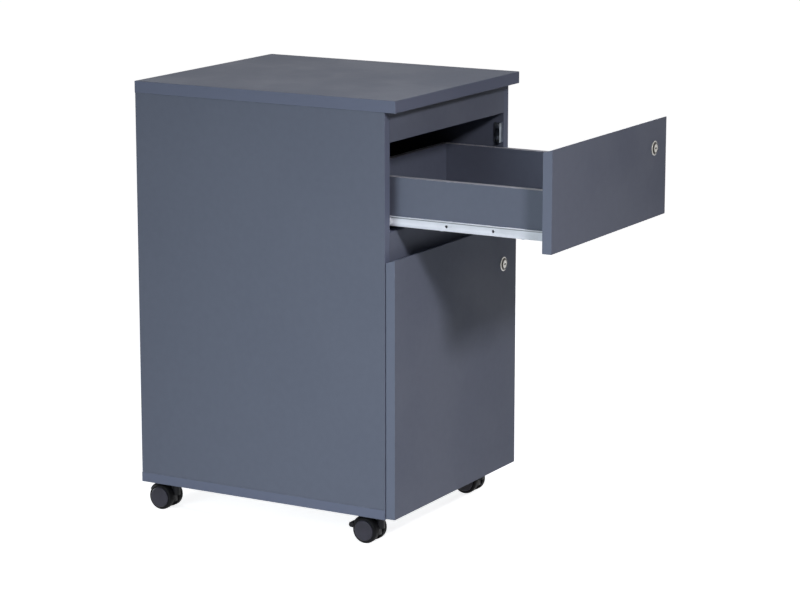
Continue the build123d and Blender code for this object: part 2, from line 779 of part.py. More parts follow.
for end_name, swivel_y in castor_ys.items():
    axle_y = swivel_y + castor_trail
    for side_name, s in SIDES.items():
        castor = f"castor_{end_name}_{side_name}"
        swivel_x = s * castor_x

        with BuildPart() as housing:
            flange_top = (swivel_x, swivel_y, flange_high)
            bar(flange_top, (0, 0, -1), housing_flange_radius, housing_flange_thickness)
            bar(flange_top, (0, 0, -1), housing_barrel_radius, housing_barrel_length)
            web_x = (swivel_x - housing_web_width / 2, swivel_x + housing_web_width / 2)
            slab(web_x, (swivel_y, axle_y), (axle_z - housing_axle_boss_radius, flange_low))
            web_start = (web_x[0], axle_y, axle_z)
            bar(web_start, (1, 0, 0), housing_axle_boss_radius, housing_web_width)
            # The web between the wheels, from the axle boss out to the hood
            flange_point = (-castor_trail, flange_low - axle_z)
            with BuildSketch(Plane(origin=web_start, x_dir=(0, 1, 0), z_dir=(1, 0, 0))):
                with BuildLine():
                    Polyline(hood_outer_points[-1], flange_point, (0, 0), hood_outer_points[0])
                    ThreePointArc(*hood_outer_points)
                make_face()
            extrude(amount=housing_web_width)
            # The hood over the wheels
            hood_start = (swivel_x - hood_half_width, axle_y, axle_z)
            with BuildSketch(Plane(origin=hood_start, x_dir=(0, 1, 0), z_dir=(1, 0, 0))):
                with BuildLine():
                    ThreePointArc(*hood_inner_points)
                    Line(hood_inner_points[-1], hood_outer_points[-1])
                    ThreePointArc(*hood_outer_points)
                    Line(hood_outer_points[0], hood_inner_points[0])
                make_face()
            extrude(amount=2 * hood_half_width)
            kingpin_bore = kingpin_length - housing_flange_gap + overrun
            bar(flange_top, (0, 0, -1), kingpin_radius + running_clearance, kingpin_bore, Mode.SUBTRACT)
            axle_start = (web_x[0] - overrun, axle_y, axle_z)
            axle_bore = housing_web_width + 2 * overrun
            bar(axle_start, (1, 0, 0), axle_radius + running_clearance, axle_bore, Mode.SUBTRACT)
        finish(housing, f"{castor}_housing")

        with BuildPart() as axle:
            bar((swivel_x - axle_half_length, axle_y, axle_z), (1, 0, 0), axle_radius, 2 * axle_half_length)
        finish(axle, f"{castor}_axle")

        wheel_plane = Plane(origin=(swivel_x, axle_y, axle_z), x_dir=(0, 0, 1), z_dir=(0, 1, 0))
        for wheel_name, direction in SIDES.items():
            with BuildPart() as wheel:
                with BuildSketch(wheel_plane):
                    with BuildLine():
                        Polyline(
                            (0, direction * wheel_bore_end),
                            (wheel_bore, direction * wheel_bore_end),
                            (wheel_bore, direction * wheel_inner_offset),
                            (wheel_radius, direction * wheel_inner_offset),
                            (wheel_radius, direction * wheel_shoulder_start),
                        )
                        ThreePointArc(
                            (wheel_radius, direction * wheel_shoulder_start),
                            (wheel_arc_radius, direction * wheel_arc_offset),
                            (wheel_face_radius, direction * wheel_rim_face),
                        )
                        Polyline(
                            (wheel_face_radius, direction * wheel_rim_face),
                            (wheel_disc_radius, direction * wheel_rim_face),
                            (wheel_disc_radius, direction * disc_round_start),
                        )
                        ThreePointArc(
                            (wheel_disc_radius, direction * disc_round_start),
                            (disc_arc_radius, direction * disc_arc_offset),
                            (disc_face_radius, direction * wheel_outer),
                        )
                        Polyline(
                            (disc_face_radius, direction * wheel_outer),
                            (0, direction * wheel_outer),
                            (0, direction * wheel_bore_end),
                        )
                    make_face()
                revolve(axis=Axis((swivel_x, axle_y, axle_z), (1, 0, 0)))
            finish(wheel, f"{castor}_wheel_{wheel_name}")

        if end_name == "front":
            with BuildPart() as brake_lever:
                pad_angle = (brake_pad_low_angle + brake_pad_high_angle) / 2
                for hand in SIDES.values():
                    arm_x = swivel_x + hand * brake_arm_offset
                    arm_way = (0, cos(radians(pad_angle)), sin(radians(pad_angle)))
                    arm_plane = Plane(origin=(arm_x, axle_y, axle_z), x_dir=arm_way, z_dir=(1, 0, 0))
                    with BuildSketch(arm_plane):
                        Circle(brake_eye_radius)
                        with Locations((brake_arm_length / 2, 0)):
                            Rectangle(brake_arm_length, brake_arm_width)
                        Circle(axle_radius + running_clearance, mode=Mode.SUBTRACT)
                    extrude(amount=hand * brake_arm_thickness)
                pad_start = (swivel_x - brake_pad_half_width, axle_y, axle_z)
                pad_plane = Plane(origin=pad_start, x_dir=(0, 1, 0), z_dir=(1, 0, 0))
                pad_angles = [radians(a) for a in (brake_pad_low_angle, pad_angle, brake_pad_high_angle)]
                inner_points = [(pad_inner_radius * cos(a), pad_inner_radius * sin(a)) for a in pad_angles]
                outer_points = [(pad_outer_radius * cos(a), pad_outer_radius * sin(a)) for a in pad_angles]
                with BuildSketch(pad_plane):
                    with BuildLine():
                        ThreePointArc(*inner_points)
                        Line(inner_points[-1], outer_points[-1])
                        ThreePointArc(*outer_points)
                        Line(outer_points[0], inner_points[0])
                    make_face()
                extrude(amount=2 * brake_pad_half_width)
                axle_middle = (swivel_x, axle_y, axle_z)
                tip_edges = edges().filter_by(Axis.X).sort_by_distance(axle_middle)[-2:]
                fillet(tip_edges, radius=brake_tip_radius)
            finish(brake_lever, f"{castor}_brake_lever")
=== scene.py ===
"""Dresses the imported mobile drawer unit: board finishes, formed hardware, floor, light and camera.

Metres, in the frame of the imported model: +X to the right facing the drawers, +Y to the back, +Z up.
"""

import json
import logging
from abc import ABC, abstractmethod
from dataclasses import dataclass, replace
from enum import Enum
from functools import cache
from math import cos, pi, radians, sin

import bmesh
import bpy
from mathutils import Matrix, Vector


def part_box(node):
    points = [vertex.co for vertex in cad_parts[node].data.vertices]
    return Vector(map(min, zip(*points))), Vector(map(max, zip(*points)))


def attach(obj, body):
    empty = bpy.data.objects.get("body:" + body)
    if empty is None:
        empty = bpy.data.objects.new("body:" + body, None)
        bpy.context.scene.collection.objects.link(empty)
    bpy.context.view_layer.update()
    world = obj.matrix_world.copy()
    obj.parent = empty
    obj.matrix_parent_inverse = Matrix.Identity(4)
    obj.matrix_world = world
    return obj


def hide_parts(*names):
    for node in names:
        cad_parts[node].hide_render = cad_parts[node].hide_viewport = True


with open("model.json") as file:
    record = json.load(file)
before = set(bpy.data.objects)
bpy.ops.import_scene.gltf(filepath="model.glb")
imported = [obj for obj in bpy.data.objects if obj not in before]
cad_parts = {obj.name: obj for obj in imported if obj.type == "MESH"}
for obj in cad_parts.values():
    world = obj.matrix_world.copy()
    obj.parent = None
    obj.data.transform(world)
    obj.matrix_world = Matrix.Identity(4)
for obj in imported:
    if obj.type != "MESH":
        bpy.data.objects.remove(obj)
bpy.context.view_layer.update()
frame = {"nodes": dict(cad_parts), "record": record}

LOG = logging.getLogger("drawer_unit")
MM = 0.001
WELD = 0.002 * MM
FLAT_ANGLE = radians(2)
SHARP_ANGLE = radians(30)
DOWNWARD = -0.9  # a face with a lower normal looks down
ROUNDED = 3  # faces across an edge that looks round
NODES: dict[str, bpy.types.Object] = frame["nodes"]
BODY_OF: dict[str, str] = {
    node: body for body, nodes in frame["record"]["behaviour"]["bodies"].items() for node in nodes
}

Colour = tuple[float, float, float]
Span = tuple[float, float]
Point = tuple[float, float]
Points = list[Point]
Material = bpy.types.Material
Node = bpy.types.Node
NodeTree = bpy.types.NodeTree
Socket = bpy.types.NodeSocket
Shape = bmesh.types.BMesh
Value = float | tuple | Vector | Socket

WHITE: Colour = (1.0, 1.0, 1.0)
ACROSS_Y = (1.0, 0.0, 1.0)


class Side(Enum):
    """The two hands of the unit, as one faces the drawers."""

    LEFT = "left"
    RIGHT = "right"

    @property
    def sign(self) -> float:
        """The way that this side lies along X."""
        return -1.0 if self is Side.LEFT else 1.0


class End(Enum):
    """The two ends of the carcass that castors stand under."""

    FRONT = "front"
    REAR = "rear"


class Level(Enum):
    """The two drawers."""

    UPPER = "upper"
    LOWER = "lower"


class Slot(Enum):
    """The record's material slots that the formed fittings take."""

    ZINC = "zinc_steel"
    COATED = "white_coated_steel"
    ROLLER = "roller_nylon"
    LOCK = "nickel_lock"
    WHEEL = "castor_wheel"
    HOUSING = "castor_housing"


# Wiring of shader trees


def rgba(colour: Colour, share: float = 1.0) -> tuple[float, float, float, float]:
    """Return a colour, times a share, with full alpha."""
    return (colour[0] * share, colour[1] * share, colour[2] * share, 1.0)


@dataclass
class Wiring:
    """Adds and links the nodes of one shader tree.

    Args:
        tree: The node tree of a material, a world or a group.
    """

    tree: NodeTree

    def add(self, kind: str, inputs: dict[str | int, Value] | None = None, **settings) -> Node:
        """Add a node and fill or link its inputs.

        Args:
            kind: The node type's name, without its ShaderNode prefix.
            inputs: A constant or a socket for each input, by name or number.
            **settings: The node's own properties.

        Returns:
            The new node.
        """
        node = self.tree.nodes.new(f"ShaderNode{kind}")
        for key, setting in settings.items():
            setattr(node, key, setting)
        for key, value in (inputs or {}).items():
            self.feed(node, key, value)
        return node

    def feed(self, node: Node, key: str | int, value: Value) -> None:
        """Set an input of a node to a constant, or link a socket to it.

        Args:
            node: The node.
            key: The input's name or number.
            value: The constant or the socket.
        """
        if isinstance(value, Socket):
            self.tree.links.new(value, node.inputs[key])
        else:
            node.inputs[key].default_value = value

    def math(self, operation: str, *values: Value) -> Socket:
        """Return the result of a Math node."""
        return self.add("Math", dict(enumerate(values)), operation=operation).outputs[0]

    def vector(self, operation: str, *values: Value) -> Node:
        """Return a Vector Math node."""
        return self.add("VectorMath", dict(enumerate(values)), operation=operation)

    def ramp(self, value: Value, low: float, high: float, start: float = 0.0, stop: float = 1.0) -> Socket:
        """Return a value carried smoothly from one range to another, held at both ends."""
        inputs = {"Value": value, "From Min": low, "From Max": high, "To Min": start, "To Max": stop}
        return self.add("MapRange", inputs, interpolation_type="SMOOTHSTEP").outputs[0]

    def mix(self, share: Value, first: Value, second: Value) -> Socket:
        """Return two colours mixed by a share."""
        return self.add("Mix", {0: share, 6: first, 7: second}, data_type="RGBA").outputs[2]

    def shades(self, mask: Value, colour: Colour, darker: float, lighter: float) -> Socket:
        """Return a colour that a mask carries from one share of it to another."""
        return self.mix(mask, rgba(colour, darker), rgba(colour, lighter))

    def spread(self, mask: Value, middle: float, span: Span) -> Socket:
        """Return a value that a mask carries across a span about a middle."""
        return self.ramp(mask, 0.0, 1.0, middle + span[0], middle + span[1])

    def noise(self, place: Socket, scale: Value, detail: float, roughness: float = 0.5) -> Socket:
        """Return a noise value at a place."""
        inputs = {"Vector": place, "Scale": scale, "Detail": detail, "Roughness": roughness}
        return self.add("TexNoise", inputs).outputs[0]

    def place(self) -> Socket:
        """Return the piece's own coordinates."""
        return self.add("TexCoord").outputs["Object"]

    def effect(self, group: NodeTree, **inputs: Value) -> Node:
        """Place a shared effect with its own values.

        Args:
            group: The effect.
            **inputs: A constant or a socket for each input; underscores in the names stand for spaces.

        Returns:
            The placed effect.
        """
        node = self.add("Group", node_tree=group)
        for key, value in inputs.items():
            self.feed(node, key.replace("_", " ").title(), value)
        return node


SOCKET_TYPES = {float: "NodeSocketFloat", tuple: "NodeSocketVector"}


def new_effect(name: str, inputs: dict[str, float | tuple], outputs: list[str]) -> tuple[Wiring, dict, Node]:
    """Start a shared effect, as a node group with named float and vector sockets.

    Args:
        name: The group's name.
        inputs: The default of each input, by name.
        outputs: The name of each output, all of them values.

    Returns:
        The wiring of the group, its inner input sockets by name, and its output node.
    """
    tree = bpy.data.node_groups.new(name, "ShaderNodeTree")
    for key, default in inputs.items():
        socket = tree.interface.new_socket(key, in_out="INPUT", socket_type=SOCKET_TYPES[type(default)])
        socket.default_value = default
    for key in outputs:
        tree.interface.new_socket(key, in_out="OUTPUT", socket_type="NodeSocketFloat")
    wiring = Wiring(tree)
    start = tree.nodes.new("NodeGroupInput")
    stop = tree.nodes.new("NodeGroupOutput")
    return wiring, {socket.name: socket for socket in start.outputs}, stop


@cache
def board_edges() -> NodeTree:
    """Build the effect that tells a board's faces, edge banding and arrises apart.

    Returns:
        A group that gives the distance to the nearest arris, a mask of the banded edges and a mask of
        the fine joint line between banding and facing.
    """
    band_reach, seam_reach = (0.2 * MM, 0.6 * MM), (0.05 * MM, 0.2 * MM)
    still = (0.0, 0.0, 0.0)
    inputs = {"Centre": still, "Half Size": still, "Thickness Way": still, "Band Thickness": 1.0 * MM}
    w, given, out = new_effect("Board Edges", inputs, ["Distance", "Band", "Seam"])
    offset = w.vector("SUBTRACT", w.place(), given["Centre"]).outputs[0]
    inside = w.vector("SUBTRACT", given["Half Size"], w.vector("ABSOLUTE", offset).outputs[0]).outputs[0]
    x, y, z = w.add("SeparateXYZ", {0: inside}).outputs
    nearest = w.math("MINIMUM", w.math("MAXIMUM", x, y), z)
    distance = w.math("MAXIMUM", w.math("MINIMUM", x, y), nearest)
    depth = w.vector("DOT_PRODUCT", inside, given["Thickness Way"]).outputs["Value"]
    band = w.ramp(depth, *band_reach)
    off_seam = w.math("ABSOLUTE", w.math("SUBTRACT", distance, given["Band Thickness"]))
    seam = w.math("MULTIPLY", w.ramp(off_seam, *seam_reach, 1.0, 0.0), w.math("SUBTRACT", 1.0, band))
    w.feed(out, "Distance", distance)
    w.feed(out, "Band", band)
    w.feed(out, "Seam", seam)
    return w.tree


@cache
def fine_pores() -> NodeTree:
    """Build the effect of a pressed, finely pored surface.

    Returns:
        A group that gives its height and a mottled tone.
    """
    w, given, out = new_effect("Fine Pores", {"Scale": 1500.0, "Cloud Scale": 24.0}, ["Height", "Tone"])
    grain_share = 0.35
    place = w.place()
    grain = w.noise(place, given["Scale"], detail=3.0, roughness=0.6)
    cloud = w.noise(place, given["Cloud Scale"], detail=4.0, roughness=0.55)
    w.feed(out, "Height", grain)
    tone = w.math("ADD", w.math("MULTIPLY", grain, grain_share), w.math("MULTIPLY", cloud, 1.0 - grain_share))
    w.feed(out, "Tone", w.ramp(tone, low=0.3, high=0.7))
    return w.tree


@cache
def handling() -> NodeTree:
    """Build the effect of wiped and handled patches.

    Returns:
        A group that gives a mask of them.
    """
    w, given, out = new_effect("Handling", {"Scale": 5.0, "Streak": (1.0, 1.0, 1.0)}, ["Mask"])
    stretched = w.vector("MULTIPLY", w.place(), given["Streak"]).outputs[0]
    cloud = w.noise(stretched, given["Scale"], detail=5.0, roughness=0.6)
    w.feed(out, "Mask", w.ramp(cloud, low=0.35, high=0.7))
    return w.tree


@cache
def edge_wear() -> NodeTree:
    """Build the effect of rubbed arrises.

    Returns:
        A group that gives a broken mask, which fades with the distance from the arris.
    """
    w, given, out = new_effect("Edge Wear", {"Distance": 1.0, "Width": 1.2 * MM, "Scale": 70.0}, ["Mask"])
    near = w.math("DIVIDE", given["Distance"], given["Width"])
    broken = w.ramp(w.noise(w.place(), given["Scale"], detail=4.0, roughness=0.65), low=0.42, high=0.66)
    fading = w.ramp(near, low=0.2, high=1.0, start=1.0, stop=0.0)
    w.feed(out, "Mask", w.math("MULTIPLY", fading, broken))
    return w.tree


@cache
def turned_rings() -> NodeTree:
    """Build the effect of fine turning marks about an axis.

    Returns:
        A group that gives their height.
    """
    inputs = {"Centre": (0.0, 0.0, 0.0), "Across": (1.0, 1.0, 1.0), "Pitch": 0.25 * MM}
    w, given, out = new_effect("Turned Rings", inputs, ["Height"])
    offset = w.vector("SUBTRACT", w.place(), given["Centre"]).outputs[0]
    radius = w.vector("LENGTH", w.vector("MULTIPLY", offset, given["Across"]).outputs[0]).outputs["Value"]
    turns = w.math("DIVIDE", radius, given["Pitch"])
    w.feed(out, "Height", w.math("PINGPONG", turns, 1.0))
    return w.tree


@cache
def plating() -> NodeTree:
    """Build the effect of a plated metal skin.

    Returns:
        A group that gives its tone, its gloss and its fine height.
    """
    w, given, out = new_effect("Plating", {"Scale": 160.0}, ["Tone", "Gloss", "Height"])
    finer = 14.0
    place = w.place()
    flakes = w.add("TexVoronoi", {"Vector": place, "Scale": given["Scale"]}).outputs["Color"]
    spangle = w.add("SeparateColor", {0: flakes}).outputs[0]
    w.feed(out, "Tone", spangle)
    cloud = w.noise(place, given["Scale"], detail=4.0, roughness=0.6)
    w.feed(out, "Gloss", w.ramp(cloud, low=0.3, high=0.7))
    w.feed(out, "Height", w.noise(place, w.math("MULTIPLY", given["Scale"], finer), detail=2.0))
    return w.tree


# Finishes


def new_material(name: str) -> tuple[Material, Wiring, Node]:
    """Start a material.

    Args:
        name: The material's name.

    Returns:
        The material, its wiring and its Principled shader.
    """
    material = bpy.data.materials.new(name)
    material.use_nodes = True
    shader = material.node_tree.nodes["Principled BSDF"]
    return material, Wiring(material.node_tree), shader


def bump(w: Wiring, height: Socket, depth: float, strength: float) -> Socket:
    """Return the normal of a surface with a height of up to a depth."""
    return w.add("Bump", {"Height": height, "Distance": depth, "Strength": strength}).outputs[0]


def edges_of(w: Wiring, node: str, band_thickness: float) -> Node:
    """Place the Board Edges effect for a board, from its box.

    Args:
        w: The wiring of the board's material.
        node: The board's node.
        band_thickness: How thick its edge banding is.

    Returns:
        The placed effect.
    """
    low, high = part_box(node)
    size = high - low
    way = [float(length == min(size)) for length in size]
    centre = (low + high) / 2
    return w.effect(board_edges(), centre=centre, half_size=size / 2, thickness_way=way,
                    band_thickness=band_thickness)


@dataclass(frozen=True)
class MelamineFinish:
    """A melamine-faced board with edge banding close to its colour."""

    facing: Colour
    banding: Colour
    worn: Colour
    roughness: float = 0.6
    roughness_span: Span = (-0.04, 0.05)
    specular: float = 0.2
    band_thickness: float = 1.0 * MM
    pore_depth: float = 0.03 * MM
    pore_strength: float = 0.5
    cloud_scale: float = 90.0
    patch_scale: float = 5.0
    tone_share: float = 0.025
    wear_share: float = 0.25
    seam_share: float = 0.12
    seam_shade: float = 0.3

    def material(self, node: str) -> Material:
        """Make the material of one board, fitted to its box.

        Args:
            node: The board's node.

        Returns:
            The material.
        """
        material, w, shader = new_material(f"melamine.{node}")
        edges = edges_of(w, node, self.band_thickness).outputs
        pores = w.effect(fine_pores(), cloud_scale=self.cloud_scale).outputs
        patches = w.effect(handling(), scale=self.patch_scale).outputs["Mask"]
        rubbed = w.effect(edge_wear(), distance=edges["Distance"]).outputs["Mask"]
        face = w.shades(pores["Tone"], self.facing, 1.0 - self.tone_share, 1.0 + self.tone_share)
        colour = w.mix(edges["Band"], face, rgba(self.banding))
        seam = w.math("MULTIPLY", edges["Seam"], self.seam_share)
        colour = w.mix(seam, colour, rgba(self.facing, self.seam_shade))
        colour = w.mix(w.math("MULTIPLY", rubbed, self.wear_share), colour, rgba(self.worn))
        shader.inputs["Specular IOR Level"].default_value = self.specular
        w.feed(shader, "Base Color", colour)
        w.feed(shader, "Roughness", w.spread(patches, self.roughness, self.roughness_span))
        w.feed(shader, "Normal", bump(w, pores["Height"], self.pore_depth, self.pore_strength))
        return material


@dataclass(frozen=True)
class HardboardFinish:
    """A thin faced hardboard with raw fibre at its cut edges."""

    facing: Colour
    fibre: Colour
    roughness: float = 0.5
    roughness_span: Span = (-0.05, 0.1)
    pore_scale: float = 900.0
    pore_depth: float = 0.04 * MM
    pore_strength: float = 0.5
    cloud_scale: float = 110.0
    tone_share: float = 0.04
    fibre_shades: Span = (0.6, 1.2)

    def material(self, node: str) -> Material:
        """Make the material of one panel, fitted to its box.

        Args:
            node: The panel's node.

        Returns:
            The material.
        """
        material, w, shader = new_material(f"hardboard.{node}")
        edges = edges_of(w, node, 0.0).outputs
        pores = w.effect(fine_pores(), scale=self.pore_scale, cloud_scale=self.cloud_scale).outputs
        face = w.shades(pores["Tone"], self.facing, 1.0 - self.tone_share, 1.0 + self.tone_share)
        raw = w.shades(pores["Height"], self.fibre, *self.fibre_shades)
        w.feed(shader, "Base Color", w.mix(edges["Band"], face, raw))
        w.feed(shader, "Roughness", w.spread(pores["Tone"], self.roughness, self.roughness_span))
        w.feed(shader, "Normal", bump(w, pores["Height"], self.pore_depth, self.pore_strength))
        return material


@dataclass(frozen=True)
class CoatedSteelFinish:
    """Rolled steel under a stoved coat, with the coat's orange peel and a painted shade line below a hem."""

    name: str
    coat: Colour
    # painted shade below the hem, where the hem's shadow falls: its colour, and where the line starts and
    # ends below the hem
    painted_shade: Colour = (0.25, 0.26, 0.28)
    roughness: float = 0.36
    roughness_span: Span = (0.0, 0.16)
    peel_scale: float = 420.0
    peel_depth: float = 0.05 * MM
    peel_strength: float = 0.35
    cloud_scale: float = 60.0
    patch_scale: float = 18.0
    patch_streak: tuple[float, float, float] = (1.0, 0.15, 1.0)
    dull_share: float = 0.88
    hem: float = 1.2 * MM
    shade_start: Span = (0.0, 0.1 * MM)
    shade_reach: Span = (1.3 * MM, 1.9 * MM)

    def shade_below_hem(self, w: Wiring, node: str) -> Socket:
        """Mask the painted shade line below the hem along the top of a node.

        Args:
            w: The wiring of the node's material.
            node: The node.

        Returns:
            The mask.
        """
        height = w.add("SeparateXYZ", {0: w.place()}).outputs[2]
        depth = w.math("SUBTRACT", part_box(node)[1].z - self.hem, height)
        return w.math("MULTIPLY", w.ramp(depth, *self.shade_start), w.ramp(depth, *self.shade_reach, 1.0, 0.0))

    def material(self, node: str = "") -> Material:
        """Make the material.

        Args:
            node: A node with a hem along its top, if the coat is for one; its coat then gets the painted
                shade line below the hem.

        Returns:
            The material.
        """
        material, w, shader = new_material(f"{self.name}.{node}" if node else self.name)
        patches = w.effect(handling(), scale=self.patch_scale, streak=self.patch_streak).outputs["Mask"]
        peel = w.effect(fine_pores(), scale=self.peel_scale, cloud_scale=self.cloud_scale).outputs
        dull = w.shades(patches, self.coat, 1.0, self.dull_share)
        colour = w.mix(peel["Tone"], dull, rgba(self.coat))
        if node:
            # painted shade: a darker line just below the hem, where the hem's shadow falls
            colour = w.mix(self.shade_below_hem(w, node), colour, rgba(self.painted_shade))
        w.feed(shader, "Base Color", colour)
        w.feed(shader, "Roughness", w.spread(patches, self.roughness, self.roughness_span))
        w.feed(shader, "Normal", bump(w, peel["Height"], self.peel_depth, self.peel_strength))
        return material


@dataclass(frozen=True)
class PlatedFinish:
    """Plated steel with a faint spangle."""

    name: str
    bright: Colour
    dull: Colour
    gloss: Span
    scale: float = 160.0
    depth: float = 0.02 * MM
    strength: float = 0.4

    def material(self) -> Material:
        """Make the material.

        Returns:
            The material.
        """
        material, w, shader = new_material(self.name)
        skin = w.effect(plating(), scale=self.scale).outputs
        shader.inputs["Metallic"].default_value = 1.0
        w.feed(shader, "Base Color", w.mix(skin["Tone"], rgba(self.dull), rgba(self.bright)))
        w.feed(shader, "Roughness", w.ramp(skin["Gloss"], 0.0, 1.0, *self.gloss))
        w.feed(shader, "Normal", bump(w, skin["Height"], self.depth, self.strength))
        return material


@dataclass(frozen=True)
class TurnedFinish:
    """Nickel-plated brass with fine turning marks about the lock's axis."""

    name: str
    bright: Colour
    dull: Colour
    gloss: Span = (0.24, 0.36)
    skin_scale: float = 400.0
    ring_depth: float = 0.015 * MM
    ring_strength: float = 0.5

    def material(self, node: str) -> Material:
        """Make the material of one turned piece, centred on its axis along Y.

        Args:
            node: The piece's node.

        Returns:
            The material.
        """
        material, w, shader = new_material(f"{self.name}.{node}")
        low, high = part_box(node)
        rings = w.effect(turned_rings(), centre=(low + high) / 2, across=ACROSS_Y).outputs["Height"]
        skin = w.effect(plating(), scale=self.skin_scale).outputs
        shader.inputs["Metallic"].default_value = 1.0
        w.feed(shader, "Base Color", w.mix(skin["Gloss"], rgba(self.dull), rgba(self.bright)))
        w.feed(shader, "Roughness", w.ramp(skin["Gloss"], 0.0, 1.0, *self.gloss))
        w.feed(shader, "Normal", bump(w, rings, self.ring_depth, self.ring_strength))
        return material


@dataclass(frozen=True)
class MouldedFinish:
    """Moulded plastic with a fine spark-eroded grain and some scuffs."""

    name: str
    colour: Colour
    scuffed: Colour
    roughness: float = 0.45
    roughness_span: Span = (-0.06, 0.1)
    specular: float = 0.5
    grain_scale: float = 1100.0
    grain_depth: float = 0.04 * MM
    grain_strength: float = 0.4
    cloud_scale: float = 90.0
    tone_share: float = 0.12
    scuff_scale: float = 120.0
    scuff_share: float = 0.35

    def material(self) -> Material:
        """Make the material.

        Returns:
            The material.
        """
        material, w, shader = new_material(self.name)
        grain = w.effect(fine_pores(), scale=self.grain_scale, cloud_scale=self.cloud_scale).outputs
        patches = w.effect(handling(), scale=self.scuff_scale).outputs["Mask"]
        mottled = w.shades(grain["Tone"], self.colour, 1.0 - self.tone_share, 1.0 + self.tone_share)
        scuffs = w.math("MULTIPLY", patches, self.scuff_share)
        shader.inputs["Specular IOR Level"].default_value = self.specular
        w.feed(shader, "Base Color", w.mix(scuffs, mottled, rgba(self.scuffed)))
        w.feed(shader, "Roughness", w.spread(patches, self.roughness, self.roughness_span))
        w.feed(shader, "Normal", bump(w, grain["Height"], self.grain_depth, self.grain_strength))
        return material


@dataclass(frozen=True)
class BeechFinish:
    """Pressed beech, for the dowels."""

    name: str
    pale: Colour
    flecked: Colour
    gloss: Span = (0.5, 0.7)
    grain_scale: float = 700.0
    grain_range: Span = (0.3, 0.7)
    grain_depth: float = 0.05 * MM
    grain_strength: float = 0.5
    cloud_scale: float = 160.0

    def material(self) -> Material:
        """Make the material.

        Returns:
            The material.
        """
        material, w, shader = new_material(self.name)
        grain = w.effect(fine_pores(), scale=self.grain_scale, cloud_scale=self.cloud_scale).outputs
        w.feed(shader, "Base Color", w.mix(grain["Tone"], rgba(self.flecked), rgba(self.pale)))
        w.feed(shader, "Roughness", w.ramp(grain["Height"], *self.grain_range, *self.gloss))
        w.feed(shader, "Normal", bump(w, grain["Height"], self.grain_depth, self.grain_strength))
        return material


GRAPHITE = MelamineFinish(
    facing=(0.118, 0.132, 0.172), banding=(0.13, 0.147, 0.205), worn=(0.2, 0.215, 0.25)
)
GRAPHITE_FRONT = replace(GRAPHITE, banding=(0.138, 0.156, 0.206))
GRAPHITE_BOX = replace(GRAPHITE, banding=(0.32, 0.323, 0.355))
FACED_HARDBOARD = HardboardFinish(facing=(0.11, 0.122, 0.158), fibre=(0.19, 0.12, 0.07))
COATED_STEEL = CoatedSteelFinish("coated_steel.white", coat=(0.735, 0.755, 0.8))
ZINC = PlatedFinish("zinc_plate", bright=(0.43, 0.475, 0.53), dull=(0.32, 0.355, 0.4), gloss=(0.3, 0.46))
NICKEL = TurnedFinish("nickel", bright=(0.56, 0.55, 0.52), dull=(0.42, 0.41, 0.39))
# a darker copy of the nickel, for the lock collar's flank: a painted dark reflection
NICKEL_PAINTED_DARK_REFLECTION = TurnedFinish(
    "nickel_painted_dark_reflection", bright=(0.07, 0.065, 0.06), dull=(0.04, 0.037, 0.034), gloss=(0.1, 0.18)
)
# a near-black copy of the nickel for the key way's inner faces: painted shade in the recess
KEY_WAY_PAINTED_SHADE = TurnedFinish("key_way", bright=(0.012, 0.011, 0.01), dull=(0.006, 0.006, 0.006), gloss=(0.5, 0.7))
NYLON = MouldedFinish("roller_nylon", colour=(0.68, 0.7, 0.73), scuffed=(0.44, 0.45, 0.47), roughness=0.5)
HOUSING = MouldedFinish(
    "castor_housing.black", colour=(0.009, 0.009, 0.011), scuffed=(0.026, 0.026, 0.029), specular=0.16
)
WHEEL_DISC = MouldedFinish(
    "castor_wheel.disc", colour=(0.026, 0.025, 0.036), scuffed=(0.04, 0.038, 0.052),
    roughness=0.42, specular=0.26,
)
WHEEL_TREAD = MouldedFinish(
    "castor_wheel.tread", colour=(0.006, 0.006, 0.007), scuffed=(0.022, 0.021, 0.021),
    roughness=0.62, specular=0.1,
)
BEECH = BeechFinish("beech", pale=(0.62, 0.42, 0.25), flecked=(0.42, 0.26, 0.14))


# Forming of meshes


def arc(centre: Point, radius: float, start: float, stop: float, steps: int) -> Points:
    """Return points along an arc of a profile.

    Args:
        centre: The arc's centre, as a distance from the axis and one along it.
        radius: The arc's radius.
        start: The angle of its first point, in degrees.
        stop: The angle of its last point, in degrees.
        steps: How many chords it has.

    Returns:
        The points, both ends included.
    """
    angles = [radians(start + (stop - start) * i / steps) for i in range(steps + 1)]
    return [(centre[0] + radius * cos(a), centre[1] + radius * sin(a)) for a in angles]


def turned(profile: Points, origin: Vector, axis: Vector, out: Vector, closed: bool, steps: int) -> Shape:
    """Spin a profile about an axis into a closed shape.

    Args:
        profile: Points as a distance from the axis and one along it.
        origin: Where the axis starts.
        axis: The unit direction of the axis.
        out: A unit direction square to the axis.
        closed: Whether the profile is a ring, which doesn't touch the axis.
        steps: How many steps the full turn has.

    Returns:
        The shape, welded, with its faces outwards.
    """
    shape = bmesh.new()
    verts = [shape.verts.new(origin + out * r + axis * a) for r, a in profile]
    pairs = list(zip(verts, verts[1:]))
    if closed:
        pairs.append((verts[-1], verts[0]))
    for pair in pairs:
        shape.edges.new(pair)
    geometry = shape.verts[:] + shape.edges[:]
    bmesh.ops.spin(shape, geom=geometry, cent=origin, axis=axis, angle=2 * pi, steps=steps, use_merge=True)
    bmesh.ops.remove_doubles(shape, verts=shape.verts, dist=WELD)
    bmesh.ops.recalc_face_normals(shape, faces=shape.faces)
    return shape


